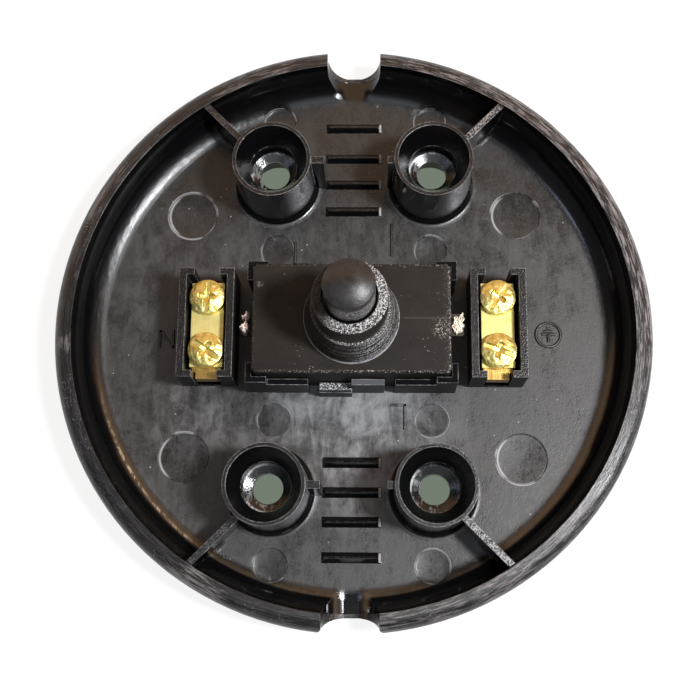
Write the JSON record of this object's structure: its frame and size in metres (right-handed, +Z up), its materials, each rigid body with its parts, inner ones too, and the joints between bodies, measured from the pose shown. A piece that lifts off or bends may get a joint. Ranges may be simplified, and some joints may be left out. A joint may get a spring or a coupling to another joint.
{
  "type": "foot switch",
  "caption": "Round black floor foot switch with its cover off: dished tray with screw bosses, cord notches, brass screw terminals and a push-on push-off switch block with a domed button.",
  "frame": {"origin": "centre of the tray's underside", "axes": "+Z up along the button, +X to the earth terminal's side, +Y away from the latch, along the cord"},
  "size_m": [0.1, 0.0994, 0.0347],
  "materials": {
    "tray_plastic": "satin black moulding",
    "switch_plastic": "matt dark moulding",
    "button_plastic": "satin black moulding",
    "rotor_plastic": "natural moulding",
    "terminal_brass": "drawn",
    "strip_brass": "pale, brushed lengthwise",
    "screw_brass": "bright",
    "bridge_brass": "stamped",
    "copper_contact": "stamped copper",
    "tinned_contact": "tinned brass",
    "contact_silver": "silver contact",
    "spring_steel": "drawn wire"
  },
  "bodies": {
    "base": {"base_tray": "tray_plastic", "neutral_terminal_bar": "terminal_brass", "neutral_clamp_strip": "strip_brass", "neutral_screw_back": "screw_brass", "neutral_screw_front": "screw_brass", "earth_terminal_bar": "terminal_brass", "earth_clamp_strip": "strip_brass", "earth_screw_back": "screw_brass", "earth_screw_front": "screw_brass", "switch_base": "switch_plastic", "switch_cover": "switch_plastic", "contact_left": "copper_contact", "contact_right": "tinned_contact", "return_spring": "spring_steel", "fixed_tip_left": "contact_silver", "fixed_tip_right": "contact_silver"},
    "button": {"push_button": "button_plastic"},
    "rotor": {"index_rotor": "rotor_plastic", "contact_bridge": "bridge_brass", "bridge_tip_left": "contact_silver", "bridge_tip_right": "contact_silver"}
  },
  "joints": [
    {"name": "button_press", "type": "slide", "parent": "base", "child": "button", "axis": [0, 0, -1], "range_m": [0, 0.0045], "stiffness_N_per_m": 600, "springref_m": -0.002, "deforming": ["return_spring"]},
    {"name": "rotor_index", "type": "hinge", "parent": "base", "child": "rotor", "pos_m": [0, 0, 0.0074], "axis": [0, 0, 1], "continuous": true}
  ]
}
